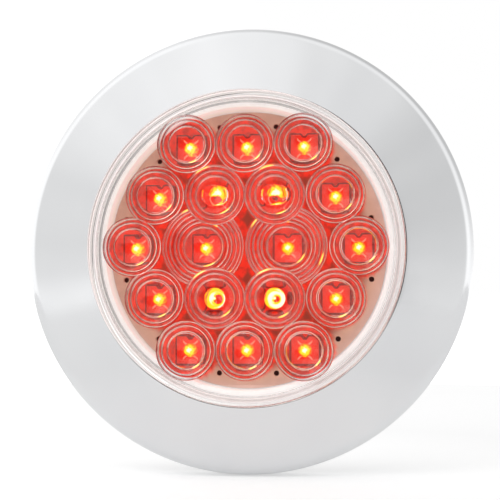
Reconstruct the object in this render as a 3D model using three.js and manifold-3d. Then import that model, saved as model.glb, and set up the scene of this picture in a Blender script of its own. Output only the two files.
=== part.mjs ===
// A round LED tail light for a trailer, with its twist-and-lock surface mount.
//
// Frame: millimetres, +X to the right and +Z up as seen from in front. The lamp faces -Y, the panel it is
// screwed to has its outer surface at y = 0, and the optical axis is the Y axis. Whatever has y > 0 lies in
// the panel's hole or behind it.

import * as THREE from "three";
import { mergeVertices } from "three/addons/utils/BufferGeometryUtils.js";
import Module from "manifold-3d";

const wasm = await Module();
wasm.setup();

// ---------------------------------------------------------------- driving dimensions

const GAP = 0.3; // assembly gap between pieces that rest on each other
const RING_SEGMENTS = 48; // facets round the large rings
const SMALL_SEGMENTS = 12; // facets round pins, domes and screws
const TINY_SEGMENTS = 8; // facets round leads, resistors and the board's holes

const QUADRANTS = [0, 90, 180, 270]; // where the bayonet lugs are, degrees anticlockwise from +X
const KEY_ANGLE = 90; // the lamp's notch and the ring's key are at the top
const SCREW_ANGLES = [45, 135, 225, 315];
const SCREW_CIRCLE_R = 63.5;

const BEZEL = {
  outerR: 73.5, // 147 mm across
  openingR: 51,
  frontY: -18.1, // front of the face at the opening
  rimY: -0.6, // back edge of the skirt, just clear of the panel
  slopeDeg: 11.5, // how far the face falls back towards the rim
  edgeR: 0.6, // rounding at the opening
  shoulderR: 2.2, // rounding between face and skirt
  wall: 2,
  skirtWall: 1.6,
  seatY: -15.3, // presses on the lens lip
  seatR: 55.4,
  lugSkirtR: [62.4, 63.9],
  lugInnerR: 59.5,
  lugY: [-10.2, -7.7],
  lugHalfDeg: 9,
  ribCount: 12,
  ribOffsetDeg: 15, // the first rib's angle, clear of the lugs
  ribWall: 1.4,
  ribY: [-13.8, -9],
};

const RING = {
  flangeR: 70.5,
  flangeY: [-4.6, -2.3],
  collarR: [56.2, 59],
  collarFrontY: -13,
  ledgeInnerR: 51.5,
  ledgeY: [-10.5, -8.3],
  spigotR: [54.2, 56.6], // centres the ring in a 114.3 mm hole
  spigotBackY: 4,
  screwHoleR: 2.4,
  lugOuterR: 62,
  lugY: [-12.6, -10.4],
  lugDeg: [-12.5, 10],
  lockStopDeg: [-12.5, -9.4],
  openStopDeg: [33.6, 36.6],
  stopOuterR: 61.8,
  gussetCount: 12,
  gussetOffsetDeg: 15,
  gussetWall: 1.6,
  gussetInnerR: 52.6,
  gussetBackY: -4.4,
  keyR: [54.9, 56.5], // stops the lamp from turning with the bezel
  keyHalfDeg: 3,
};

const GASKET = { r: [57.6, 69.4], y: [-2, 0], holeR: 2.6 };
const CUSHION = { r: [51.8, 54.4], y: [-12, -10.8] };

const LENS = {
  lipR: [50.7, 55.4],
  lipY: [-15, -12.3],
  frontY: -23.5,
  bodyR: 50.7,
  cornerR: 2,
  wall: 2.7,
  front: 2.5,
  notchR: 54.5,
  notchHalfDeg: 4.5,
};

// The eighteen optics stand in five staggered rows, and the two in the middle are wider than the rest.
const OPTIC = { pitchX: 18.8, pitchZ: 16.6, r: 9.2, wideR: 12.9, depth: 1.2, segments: 16 };
const ROW_OF_THREE = [-OPTIC.pitchX, 0, OPTIC.pitchX];
const ROW_OF_FOUR = [-29, -9.6, 9.6, 29];
const MIDDLE_ROW = [-36.4, -13.4, 13.4, 36.4];
const OPTIC_ROWS = [
  { row: 2, x: ROW_OF_THREE },
  { row: 1, x: ROW_OF_FOUR },
  { row: 0, x: MIDDLE_ROW, wide: [1, 2] },
  { row: -1, x: ROW_OF_FOUR },
  { row: -2, x: ROW_OF_THREE },
];

const HOUSING = {
  rimY: -12,
  frontR: 50.6,
  backR: 49.6,
  backY: 12.6,
  backEdge: 0.8,
  wall: 2.6,
  collarR: [46.1, 47.6], // the white ring seen round the board
  collarFrontY: -15.4,
  boardLedgeR: 44,
  boardLedgeY: [-6.7, -4.6],
  sealGrooveR: [48.5, 49.9],
  sealGrooveBackY: -10.4,
};

const SOCKET = { width: 36, height: 19, wall: 3, backY: 23, floorY: 12.8 };
const TERMINAL = { r: 1.6, holeR: 1.95, x: [-8, 0, 8], frontY: -6.6, backY: 20.6, tip: 0.7 };

const SEAL = { r: [48.7, 49.7], y: [-11.9, -10.7] };
const BOARD = {
  r: 45.7,
  y: [-8.6, -7],
  holeR: 1.1,
  holeCircleR: 41.8,
  holeDeg: [14, 45, 77, 103, 135, 166], // and again half a turn on
};
const LED = { side: 7.6, notch: 1.6, y: [-11.6, -8.9], domeR: 1.6, domeY: -13.6 };
const POTTING = { r: 46.3, y: [4, 9.7] };

const RESISTOR = {
  bulgeR: 1.7, // the caps at the ends are thicker than the middle
  bodyR: 1.4,
  leadR: 0.4,
  bodyLength: 9,
  leadLength: 2.4,
  bulge: 1.8,
  taper: 0.4,
};
const RESISTOR_X = [-22, 22];
const RESISTOR_Z = [-13, 0, 13];
const DIODE = { r: 1.35, leadR: 0.4, bodyLength: 5.2, leadLength: 2.4 };
const DIODE_Z = [-24, 24];

const SCREW = {
  headR: 4,
  headY: [-7.3, -4.9],
  headEdge: 0.9,
  crownR: 2.4, // the flat middle of the pan head
  crownDrop: 0.25,
  shankR: 2,
  backY: 16,
  point: 3,
  recess: 4.4,
  recessWall: 0.9,
  recessDepth: 1.3,
};

// ---------------------------------------------------------------- solids and how they are joined

const OVERLAP = 0.2; // how far two shapes reach into each other before they are joined
const BEYOND = 1; // how far a cutting shape stands out past what it cuts
const SAME_POINT = 1e-4; // vertices closer than this are one

function toSolid(geometry) {
  const bare = geometry.index ? geometry.toNonIndexed() : geometry.clone();
  bare.deleteAttribute("normal");
  bare.deleteAttribute("uv");
  const merged = mergeVertices(bare, SAME_POINT);
  const corners = [];
  for (let i = 0; i < merged.index.count; i += 3) {
    const [a, b, c] = [0, 1, 2].map((k) => merged.index.getX(i + k));
    if (a !== b && b !== c && c !== a) corners.push(a, b, c);
  }
  const vertProperties = Float32Array.from(merged.attributes.position.array);
  const triVerts = Uint32Array.from(corners);
  return new wasm.Manifold(new wasm.Mesh({ numProp: 3, vertProperties, triVerts }));
}

function toGeometry(solid) {
  const mesh = solid.getMesh();
  const geometry = new THREE.BufferGeometry();
  geometry.setAttribute("position", new THREE.BufferAttribute(mesh.vertProperties, 3));
  geometry.setIndex(new THREE.BufferAttribute(mesh.triVerts, 1));
  geometry.computeVertexNormals();
  return geometry;
}

const join = (first, ...rest) => rest.reduce((whole, solid) => whole.add(solid), first);
const cut = (first, ...rest) => rest.reduce((whole, solid) => whole.subtract(solid), first);

// Turns an outline of [radius, y] points round the Y axis. The points run anticlockwise in the (radius, y)
// plane. A ring's outline closes on itself, and a solid one's starts and ends on the axis.
function turned(points, segments = RING_SEGMENTS) {
  const outline = points.map(([r, y]) => new THREE.Vector2(r, y));
  if (points[0][0] > 0) outline.push(outline[0].clone());
  return toSolid(new THREE.LatheGeometry(outline, segments));
}

function arc(centre, radius, fromDeg, toDeg, steps) {
  return Array.from({ length: steps + 1 }, (_, i) => {
    const a = THREE.MathUtils.degToRad(fromDeg + ((toDeg - fromDeg) * i) / steps);
    return [centre[0] + radius * Math.cos(a), centre[1] + radius * Math.sin(a)];
  });
}

const plainRing = ([inner, outer], [front, back], segments = RING_SEGMENTS) =>
  turned([[inner, front], [outer, front], [outer, back], [inner, back]], segments);

const disc = (r, [front, back], segments = RING_SEGMENTS) =>
  turned([[0, front], [r, front], [r, back], [0, back]], segments);

const rodAt = ([x, z], r, span, segments = SMALL_SEGMENTS) => disc(r, span, segments).translate(x, 0, z);

// Raises an outline drawn in the XZ plane from y = back to y = front.
function raised(shape, [front, back]) {
  const settings = { depth: back - front, bevelEnabled: false, curveSegments: TINY_SEGMENTS };
  const geometry = new THREE.ExtrudeGeometry(shape, settings);
  return toSolid(geometry.rotateX(Math.PI / 2).translate(0, back, 0));
}

function sector([inner, outer], span, [fromDeg, toDeg]) {
  const [from, to] = [fromDeg, toDeg].map(THREE.MathUtils.degToRad);
  const steps = Math.max(2, Math.ceil((toDeg - fromDeg) / (360 / RING_SEGMENTS)));
  const at = (r, a) => new THREE.Vector2(r * Math.cos(a), r * Math.sin(a));
  const angles = Array.from({ length: steps + 1 }, (_, i) => from + ((to - from) * i) / steps);
  const outline = [...angles.map((a) => at(outer, a)), ...angles.reverse().map((a) => at(inner, a))];
  return raised(new THREE.Shape(outline), span);
}

// A radial plate of the given thickness, from inner to outer radius, at an angle round the axis.
function radialPlate([inner, outer], [front, back], thickness, deg) {
  const plate = toSolid(new THREE.BoxGeometry(outer - inner, back - front, thickness));
  return plate.translate((inner + outer) / 2, (front + back) / 2, 0).rotate([0, -deg, 0]);
}

const evenly = (count, offset) => Array.from({ length: count }, (_, i) => offset + (360 * i) / count);

function onCircle(r, deg) {
  const a = THREE.MathUtils.degToRad(deg);
  return [r * Math.cos(a), r * Math.sin(a)];
}

// A cutting rod through the given span of y, standing out past both its ends.
const holeAt = (place, r, [front, back], segments) =>
  rodAt(place, r, [front - BEYOND, back + BEYOND], segments);

function stadium(width, height) {
  const [r, half] = [height / 2, (width - height) / 2];
  const shape = new THREE.Shape();
  shape.moveTo(-half, -r).lineTo(half, -r);
  shape.absarc(half, 0, r, -Math.PI / 2, Math.PI / 2, false);
  shape.lineTo(-half, r);
  shape.absarc(-half, 0, r, Math.PI / 2, (3 * Math.PI) / 2, false);
  return shape;
}

// ---------------------------------------------------------------- the parts

const SCREW_PLACES = SCREW_ANGLES.map((deg) => onCircle(SCREW_CIRCLE_R, deg));
const slope = THREE.MathUtils.degToRad(BEZEL.slopeDeg);
const faceY = (r) => BEZEL.frontY + (r - BEZEL.openingR - BEZEL.edgeR) * Math.tan(slope);
const undersideY = (r) => faceY(r) + BEZEL.wall / Math.cos(slope);

function makeBezel() {
  const { outerR, openingR, edgeR, shoulderR, rimY, seatY, seatR, skirtWall } = BEZEL;
  const { lugSkirtR, lugInnerR, lugY, lugHalfDeg } = BEZEL;
  const shoulderX = outerR - shoulderR;
  const shoulderY = faceY(shoulderX) + shoulderR / Math.cos(slope);
  const skirtInnerR = outerR - skirtWall;
  const shell = turned([
    [openingR, seatY],
    ...arc([openingR + edgeR, BEZEL.frontY + edgeR], edgeR, 180, 270, 2),
    ...arc([shoulderX, shoulderY], shoulderR, BEZEL.slopeDeg - 90, 0, 4),
    [outerR, rimY],
    [skirtInnerR, rimY],
    [skirtInnerR, undersideY(skirtInnerR) + edgeR],
    [lugSkirtR[1], undersideY(lugSkirtR[1])],
    [lugSkirtR[1], lugY[1]],
    [lugSkirtR[0], lugY[1]],
    [lugSkirtR[0], undersideY(lugSkirtR[0])],
    [seatR, seatY],
  ]);
  const lugs = QUADRANTS.map((deg) =>
    sector([lugInnerR, lugSkirtR[0] + OVERLAP], lugY, [deg - lugHalfDeg, deg + lugHalfDeg]),
  );
  const ribs = evenly(BEZEL.ribCount, BEZEL.ribOffsetDeg).map((deg) =>
    radialPlate([lugSkirtR[1] - OVERLAP, skirtInnerR + OVERLAP], BEZEL.ribY, BEZEL.ribWall, deg),
  );
  return join(shell, ...lugs, ...ribs);
}

function makeMountingRing() {
  const { collarR, ledgeInnerR, ledgeY, flangeR, flangeY, spigotR, spigotBackY, lugY } = RING;
  const body = turned([
    [collarR[0], RING.collarFrontY],
    [collarR[1], RING.collarFrontY],
    [collarR[1], flangeY[0]],
    [flangeR, flangeY[0]],
    [flangeR, flangeY[1]],
    [spigotR[1], flangeY[1]],
    [spigotR[1], spigotBackY],
    [spigotR[0], spigotBackY],
    [spigotR[0], flangeY[0]],
    [collarR[0], flangeY[0]],
    [collarR[0], ledgeY[1]],
    [ledgeInnerR, ledgeY[1]],
    [ledgeInnerR, ledgeY[0]],
    [collarR[0], ledgeY[0]],
  ]);
  const wall = collarR[1] - OVERLAP;
  const turnedBy = (deg, span) => span.map((d) => deg + d);
  const lugs = QUADRANTS.map((deg) => sector([wall, RING.lugOuterR], lugY, turnedBy(deg, RING.lugDeg)));
  const stopSpan = [lugY[1] - OVERLAP, flangeY[0] + OVERLAP];
  const stops = QUADRANTS.flatMap((deg) =>
    [RING.lockStopDeg, RING.openStopDeg].map((span) =>
      sector([wall, RING.stopOuterR], stopSpan, turnedBy(deg, span)),
    ),
  );
  const gussetR = [RING.gussetInnerR, collarR[0] + OVERLAP];
  const gussetSpan = [ledgeY[1] - OVERLAP, RING.gussetBackY];
  const gussets = evenly(RING.gussetCount, RING.gussetOffsetDeg).map((deg) =>
    radialPlate(gussetR, gussetSpan, RING.gussetWall, deg),
  );
  const keyDeg = [KEY_ANGLE - RING.keyHalfDeg, KEY_ANGLE + RING.keyHalfDeg];
  const key = sector(RING.keyR, [RING.collarFrontY, ledgeY[0] + OVERLAP], keyDeg);
  const holes = SCREW_PLACES.map((place) => holeAt(place, RING.screwHoleR, flangeY));
  return cut(join(body, ...lugs, ...stops, ...gussets, key), ...holes);
}

function makeGasket() {
  const holes = SCREW_PLACES.map((place) => holeAt(place, GASKET.holeR, GASKET.y));
  return cut(plainRing(GASKET.r, GASKET.y), ...holes);
}

const makeCushion = () => plainRing(CUSHION.r, CUSHION.y);

function makeScrew() {
  const { headR, headY, headEdge, crownR, crownDrop, shankR, backY, point } = SCREW;
  const { recess, recessWall, recessDepth } = SCREW;
  const solid = turned(
    [
      [0, headY[0]],
      [crownR, headY[0] + crownDrop],
      [headR, headY[1] - headEdge],
      [headR, headY[1]],
      [shankR, headY[1]],
      [shankR, backY - point],
      [0, backY],
    ],
    SMALL_SEGMENTS,
  );
  const bar = (width, height) =>
    toSolid(new THREE.BoxGeometry(width, 2 * recessDepth, height)).translate(0, headY[0], 0);
  return cut(solid, join(bar(recess, recessWall), bar(recessWall, recess)));
}

const optics = OPTIC_ROWS.flatMap(({ row, x, wide = [] }) =>
  x.map((across, i) => {
    const r = wide.includes(i) ? OPTIC.wideR : OPTIC.r;
    return { place: [across, row * OPTIC.pitchZ], r };
  }),
);

function makeLens() {
  const { lipR, lipY, frontY, bodyR, cornerR, wall, front, notchR, notchHalfDeg } = LENS;
  const innerR = bodyR - wall;
  const innerY = frontY + front;
  const shell = turned([
    [0, frontY],
    ...arc([bodyR - cornerR, frontY + cornerR], cornerR, -90, 0, 3),
    [bodyR, lipY[0]],
    [lipR[1], lipY[0]],
    [lipR[1], lipY[1]],
    [innerR, lipY[1]],
    [innerR, innerY],
    [0, innerY],
  ]);
  const bossSpan = [innerY - OVERLAP, innerY + OPTIC.depth];
  const bosses = optics.map(({ place, r }) => rodAt(place, r, bossSpan, OPTIC.segments));
  const notchSpan = [lipY[0] - BEYOND, lipY[1] + BEYOND];
  const notchDeg = [KEY_ANGLE - notchHalfDeg, KEY_ANGLE + notchHalfDeg];
  const notch = sector([notchR, lipR[1] + BEYOND], notchSpan, notchDeg);
  return cut(join(shell, ...bosses), notch);
}

function makeHousing() {
  const { rimY, frontR, backR, backY, backEdge, wall, collarR, collarFrontY } = HOUSING;
  const { boardLedgeR, boardLedgeY, sealGrooveR, sealGrooveBackY } = HOUSING;
  const cup = turned([
    [collarR[0], collarFrontY],
    [collarR[1], collarFrontY],
    [collarR[1], rimY],
    [sealGrooveR[0], rimY],
    [sealGrooveR[0], sealGrooveBackY],
    [sealGrooveR[1], sealGrooveBackY],
    [sealGrooveR[1], rimY],
    [frontR, rimY],
    [backR, backY - backEdge],
    [backR - backEdge, backY],
    [0, backY],
    [0, backY - wall],
    [backR - wall, backY - wall],
    [collarR[1], boardLedgeY[1] + wall],
    [boardLedgeR, boardLedgeY[1]],
    [boardLedgeR, boardLedgeY[0]],
    [collarR[0], boardLedgeY[0]],
  ]);
  const { width, height } = SOCKET;
  const bothWalls = 2 * SOCKET.wall;
  const boss = raised(stadium(width, height), [backY - OVERLAP, SOCKET.backY]);
  const pocketSpan = [SOCKET.floorY, SOCKET.backY + BEYOND];
  const pocket = raised(stadium(width - bothWalls, height - bothWalls), pocketSpan);
  const holes = TERMINAL.x.map((x) => holeAt([x, 0], TERMINAL.holeR, [backY - wall, SOCKET.floorY]));
  return cut(join(cup, boss), pocket, ...holes);
}

function makeBoard() {
  const angles = [...BOARD.holeDeg, ...BOARD.holeDeg.map((deg) => deg + 180)];
  const holes = angles.map((deg) =>
    holeAt(onCircle(BOARD.holeCircleR, deg), BOARD.holeR, BOARD.y, TINY_SEGMENTS),
  );
  return cut(disc(BOARD.r, BOARD.y), ...holes);
}

// A square through-hole package with one corner cut off and a small dome in the middle.
function makeLed() {
  const half = LED.side / 2;
  const square = new THREE.Shape([
    new THREE.Vector2(-half, -half),
    new THREE.Vector2(half, -half),
    new THREE.Vector2(half, half - LED.notch),
    new THREE.Vector2(half - LED.notch, half),
    new THREE.Vector2(-half, half),
  ]);
  const crown = LED.domeY + LED.domeR;
  const root = LED.y[0] + OVERLAP;
  const outline = [...arc([0, crown], LED.domeR, -90, 0, 3), [LED.domeR, root], [0, root]];
  return join(raised(square, LED.y), turned(outline, SMALL_SEGMENTS));
}

function makePotting() {
  const holes = TERMINAL.x.map((x) => holeAt([x, 0], TERMINAL.holeR, POTTING.y));
  return cut(disc(POTTING.r, POTTING.y), ...holes);
}

function makeTerminal() {
  const { r, frontY, backY, tip } = TERMINAL;
  return turned([[0, frontY], [r, frontY], [r, backY - tip], [r - tip, backY], [0, backY]], SMALL_SEGMENTS);
}

// The resistors and diodes are turned about Y here and laid along X where they are placed.
function makeResistor() {
  const { bulgeR, bodyR, leadR, bodyLength, leadLength, bulge, taper } = RESISTOR;
  const [end, tip] = [bodyLength / 2, bodyLength / 2 + leadLength];
  return turned(
    [
      [0, -tip],
      [leadR, -tip],
      [leadR, -end],
      [bulgeR, -end + taper],
      [bulgeR, -end + bulge],
      [bodyR, -end + bulge + taper],
      [bodyR, end - bulge - taper],
      [bulgeR, end - bulge],
      [bulgeR, end - taper],
      [leadR, end],
      [leadR, tip],
      [0, tip],
    ],
    TINY_SEGMENTS,
  );
}

function makeDiode() {
  const { r, leadR, bodyLength, leadLength } = DIODE;
  const [end, tip] = [bodyLength / 2, bodyLength / 2 + leadLength];
  const lower = [[0, -tip], [leadR, -tip], [leadR, -end], [r, -end]];
  const upper = [[r, end], [leadR, end], [leadR, tip], [0, tip]];
  return turned([...lower, ...upper], TINY_SEGMENTS);
}

// ---------------------------------------------------------------- materials and the assembly

const finish = (color, roughness, metalness = 0) =>
  new THREE.MeshStandardMaterial({ color, roughness, metalness });

const FINISHES = {
  chrome: finish(0xe2e4e6, 0.08, 1),
  black_plastic: finish(0x1b1c1e, 0.55),
  foam: finish(0x2a2a2b, 0.95),
  rubber: finish(0x222223, 0.8),
  silicone: finish(0xe8e2dc, 0.5),
  clear_plastic: finish(0xf6eeee, 0.08),
  white_plastic: finish(0xf0eeea, 0.35),
  board: finish(0xe2d8d2, 0.5),
  led_red: finish(0xd8231c, 0.15),
  potting: finish(0x2b2c30, 0.4),
  tinned_brass: finish(0xc9b37e, 0.3, 1),
  resistor_blue: finish(0x6f9fb8, 0.5),
  diode_black: finish(0x202020, 0.5),
  zinc_steel: finish(0xb9bcc0, 0.3, 1),
};

const lamp = new THREE.Group();

function place(name, solid, material, position = [0, 0, 0], turn = [0, 0, 0]) {
  const mesh = new THREE.Mesh(toGeometry(solid), FINISHES[material].clone());
  mesh.name = name;
  mesh.position.set(...position);
  mesh.rotation.set(...turn);
  lamp.add(mesh);
}

place("foam_gasket", makeGasket(), "foam");
place("mounting_ring", makeMountingRing(), "black_plastic");
SCREW_PLACES.forEach(([x, z], i) => {
  place(`mounting_screw_${i + 1}`, makeScrew(), "zinc_steel", [x, 0, z]);
});
place("cushion_ring", makeCushion(), "rubber");
place("lens", makeLens(), "clear_plastic");
place("housing", makeHousing(), "white_plastic");
place("lens_seal", plainRing(SEAL.r, SEAL.y), "silicone");
place("circuit_board", makeBoard(), "board");
optics.forEach(({ place: [x, z] }, i) => {
  place(`led_${String(i + 1).padStart(2, "0")}`, makeLed(), "led_red", [x, 0, z]);
});

const behindBoard = (r) => BOARD.y[1] + GAP + r;
const alongX = [0, 0, Math.PI / 2];
RESISTOR_X.flatMap((x) => RESISTOR_Z.map((z) => [x, z])).forEach(([x, z], i) => {
  const position = [x, behindBoard(RESISTOR.bulgeR), z];
  place(`resistor_${i + 1}`, makeResistor(), "resistor_blue", position, alongX);
});
DIODE_Z.forEach((z, i) => {
  place(`diode_${i + 1}`, makeDiode(), "diode_black", [0, behindBoard(DIODE.r), z], alongX);
});

place("potting", makePotting(), "potting");
["terminal_tail", "terminal_ground", "terminal_stop"].forEach((name, i) => {
  place(name, makeTerminal(), "tinned_brass", [TERMINAL.x[i], 0, 0]);
});
place("bezel", makeBezel(), "chrome");

export default lamp;
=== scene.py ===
"""Looks of the round LED trailer tail light: fine meshes, materials, light and camera."""

import math

import bmesh
import bpy
from mathutils import Matrix, Vector


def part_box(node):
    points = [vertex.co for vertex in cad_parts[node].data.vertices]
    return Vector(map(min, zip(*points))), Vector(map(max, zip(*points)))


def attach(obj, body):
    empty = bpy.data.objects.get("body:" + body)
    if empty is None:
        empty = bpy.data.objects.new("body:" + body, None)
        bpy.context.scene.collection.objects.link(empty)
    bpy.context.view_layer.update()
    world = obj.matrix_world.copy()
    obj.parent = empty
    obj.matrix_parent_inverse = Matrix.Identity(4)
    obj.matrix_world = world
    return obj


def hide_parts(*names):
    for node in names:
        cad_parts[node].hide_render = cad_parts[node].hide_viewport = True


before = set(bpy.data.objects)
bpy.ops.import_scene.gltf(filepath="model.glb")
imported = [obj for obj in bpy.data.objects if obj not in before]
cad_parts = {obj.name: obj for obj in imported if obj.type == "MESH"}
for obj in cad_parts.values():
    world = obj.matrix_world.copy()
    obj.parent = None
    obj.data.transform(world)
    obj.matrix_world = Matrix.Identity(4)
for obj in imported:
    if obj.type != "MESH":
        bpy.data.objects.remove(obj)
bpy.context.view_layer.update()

# ---------- sizes in millimetres, from the frame

MM = 0.001
RING_STEPS = 192  # steps round the large rings


def box_mm(node):
    low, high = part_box(node)
    return low / MM, high / MM


def axis_of(node):
    """Where a piece turned about its own Y line stands, as (x, z)."""
    low, high = box_mm(node)
    return (low.x + high.x) / 2, (low.z + high.z) / 2


def nodes_named(start):
    return sorted(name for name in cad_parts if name.startswith(start))


BEZEL_LOW, BEZEL_HIGH = box_mm("bezel")
LENS_LOW, LENS_HIGH = box_mm("lens")
CUSHION_LOW, CUSHION_HIGH = box_mm("cushion_ring")
SEAL_LOW, SEAL_HIGH = box_mm("lens_seal")
HOUSING_HIGH = box_mm("housing")[1]
BOARD_LOW, BOARD_HIGH = box_mm("circuit_board")
POTTING_LOW, POTTING_HIGH = box_mm("potting")
LED_LOW, LED_HIGH = box_mm("led_01")
SCREW_LOW, SCREW_HIGH = box_mm("mounting_screw_1")
PIN_LOW, PIN_HIGH = box_mm("terminal_tail")
SCREWS = nodes_named("mounting_screw")
LEDS = nodes_named("led_")
PINS = nodes_named("terminal_")
RESISTORS = nodes_named("resistor_")
DIODES = nodes_named("diode_")
LED_PLACES = [axis_of(node) for node in LEDS]
SCREW_PLACES = [axis_of(node) for node in SCREWS]
PIN_PLACES = [axis_of(node) for node in PINS]
QUADRANTS = [0, 90, 180, 270]
RIB_ANGLES = [15 + 30 * i for i in range(12)]

OPENING_R = 51.0  # the bezel's opening
FACE_SLOPE_DEG = 11.5
SEAT_Y = -15.3  # back of the bezel's inner edge, just in front of the lens's lip
BODY_R = 50.7  # the lens's side
LIP_R = 55.4  # the lens's lip, under the bezel
LENS_INNER_R = 48.0
LENS_BACK_Y = LENS_LOW.y + 2.5  # inside of the lens's front wall
RIM_Y = -12.0  # front of the housing's groove for the lens
PACKAGE_FRONT_Y = -11.6  # front of the diode packages
PIN_HOLE_R = 1.95  # round the pins, in housing and resin
HOLE_CIRCLE_R = 41.8  # the board's small holes
HOLE_ANGLES = [a + turn for a in (14, 45, 77, 103, 135, 166) for turn in (0, 180)]

# ---------- mesh helpers


def smooth(share):
    """An even ease from 0 to 1."""
    share = max(0.0, min(1.0, share))
    return share * share * (3 - 2 * share)


def rounded(corners, steps=6):
    """The outline through (a, b, fillet) corners, with each corner rounded to its fillet."""
    points = []
    count = len(corners)
    for i, (a, b, fillet) in enumerate(corners):
        here = Vector((a, b))
        if fillet <= 0:
            points.append((a, b))
            continue
        before = (Vector(corners[i - 1][:2]) - here).normalized()
        after = (Vector(corners[(i + 1) % count][:2]) - here).normalized()
        half = math.acos(max(-1, min(1, before.dot(after)))) / 2
        centre = here + (before + after).normalized() * (fillet / math.sin(half))
        reach = fillet / math.tan(half)
        start, end = here + before * reach - centre, here + after * reach - centre
        first = math.atan2(start.y, start.x)
        sweep = (math.atan2(end.y, end.x) - first + math.pi) % (2 * math.pi) - math.pi
        for k in range(steps + 1):
            angle = first + sweep * k / steps
            points.append((centre.x + fillet * math.cos(angle), centre.y + fillet * math.sin(angle)))
    return points


def new_object(name, data):
    obj = bpy.data.objects.new(name, data)
    bpy.context.scene.collection.objects.link(obj)
    return obj


def finish_mesh(name, bm, sharp_deg=35):
    bmesh.ops.recalc_face_normals(bm, faces=bm.faces)
    mesh = bpy.data.meshes.new(name)
    bm.to_mesh(mesh)
    bm.free()
    mesh.shade_smooth()
    mesh.set_sharp_from_angle(angle=math.radians(sharp_deg))
    return new_object(name, mesh)


def skin(bm, rings, closed):
    """Faces between neighbouring rings of vertices, and from the last back to the first if closed."""
    pairs = list(zip(rings, rings[1:]))
    if closed:
        pairs.append((rings[-1], rings[0]))
    for near, far in pairs:
        for k in range(len(near)):
            j = (k + 1) % len(near)
            corners = list(dict.fromkeys((near[k], near[j], far[j], far[k])))
            if len(corners) > 2:
                bm.faces.new(corners)


def turn_into(bm, outline, steps, at=(0, 0)):
    """Adds the (radius, y) outline turned about the Y line through at. A ring's outline closes on itself."""
    rings = []
    for r, y in outline:
        if r < 1e-6:
            rings.append([bm.verts.new((at[0] * MM, y * MM, at[1] * MM))] * steps)
            continue
        angles = [2 * math.pi * k / steps for k in range(steps)]
        ring = [((at[0] + r * math.cos(a)) * MM, y * MM, (at[1] + r * math.sin(a)) * MM) for a in angles]
        rings.append([bm.verts.new(place) for place in ring])
    solid = outline[0][0] < 1e-6 and outline[-1][0] < 1e-6
    skin(bm, rings, closed=not solid)


def turned(name, outline, steps=RING_STEPS, at=(0, 0), sharp_deg=35):
    bm = bmesh.new()
    turn_into(bm, outline, steps, at)
    return finish_mesh(name, bm, sharp_deg)


def rod(name, r, front, back, at=(0, 0), steps=32, edge=0.0):
    corners = [(0, front, 0), (r, front, edge), (r, back, edge), (0, back, 0)]
    return turned(name, rounded(corners, 3), steps, at)


def prism_into(bm, outline, front, back):
    """Adds an (x, z) outline raised from y = back to y = front."""
    low = [bm.verts.new((x * MM, front * MM, z * MM)) for x, z in outline]
    high = [bm.verts.new((x * MM, back * MM, z * MM)) for x, z in outline]
    bm.faces.new(low)
    bm.faces.new(high[::-1])
    for k in range(len(outline)):
        j = (k + 1) % len(outline)
        bm.faces.new((low[j], low[k], high[k], high[j]))


def prism(name, outline, front, back, sharp_deg=35):
    bm = bmesh.new()
    prism_into(bm, outline, front, back)
    return finish_mesh(name, bm, sharp_deg)


def tube_into(bm, points, r, steps=10):
    """Adds a round wire of radius r along points, closed at both ends."""
    path = [Vector(p) for p in points]
    side = (path[1] - path[0]).orthogonal().normalized()
    rings = []
    for i, here in enumerate(path):
        ahead = (path[min(i + 1, len(path) - 1)] - path[max(i - 1, 0)]).normalized()
        side = (side - ahead * side.dot(ahead)).normalized()
        other = ahead.cross(side)
        angles = [2 * math.pi * k / steps for k in range(steps)]
        ring = [here + (side * math.cos(a) + other * math.sin(a)) * r for a in angles]
        rings.append([bm.verts.new(place * MM) for place in ring])
    skin(bm, rings, closed=False)
    bm.faces.new(rings[0][::-1])
    bm.faces.new(rings[-1])


def on_circle(r, deg, at=(0, 0)):
    return at[0] + r * math.cos(math.radians(deg)), at[1] + r * math.sin(math.radians(deg))


def sector(inner, outer, start, end, steps=14):
    angles = [start + (end - start) * k / steps for k in range(steps + 1)]
    return [on_circle(outer, a) for a in angles] + [on_circle(inner, a) for a in reversed(angles)]


def rectangle(half_x, half_z, x=0, z=0):
    """The (x, z) outline of a rectangle round its middle."""
    return [(x + a * half_x, z + b * half_z) for a, b in ((-1, -1), (1, -1), (1, 1), (-1, 1))]


def radial_bar(inner, outer, deg, wall):
    """The outline of a straight bar that points outwards at an angle."""
    across = Vector(on_circle(wall / 2, deg + 90))
    near, far = Vector(on_circle(inner, deg)), Vector(on_circle(outer, deg))
    return [near - across, far - across, far + across, near + across]


def stadium(width, height, steps=20):
    r, half = height / 2, (width - height) / 2
    angles = [math.pi * k / steps for k in range(steps + 1)]
    right = [(half + r * math.sin(a), -r * math.cos(a)) for a in angles]
    return right + [(-x, -z) for x, z in right]


def apply_modifiers(obj):
    bpy.context.view_layer.objects.active = obj
    obj.select_set(True)
    bpy.ops.object.convert(target="MESH")
    obj.select_set(False)
    return obj


def combine(obj, others, operation, sharp_deg=35):
    """Boolean of obj with each of the others, which are used up, shaded afresh."""
    operands = bpy.data.collections.new("operands")
    for other in others:
        operands.objects.link(other)
    modifier = obj.modifiers.new("combine", "BOOLEAN")
    modifier.operation = operation
    modifier.solver = "MANIFOLD"
    modifier.operand_type = "COLLECTION"
    modifier.collection = operands
    apply_modifiers(obj)
    for other in others:
        bpy.data.objects.remove(other)
    bpy.data.collections.remove(operands)
    mesh = obj.data
    if mesh.has_custom_normals:
        mesh.attributes.remove(mesh.attributes["custom_normal"])
    mesh.set_sharp_from_angle(angle=math.radians(sharp_deg))
    return weigh_normals(obj)


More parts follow.
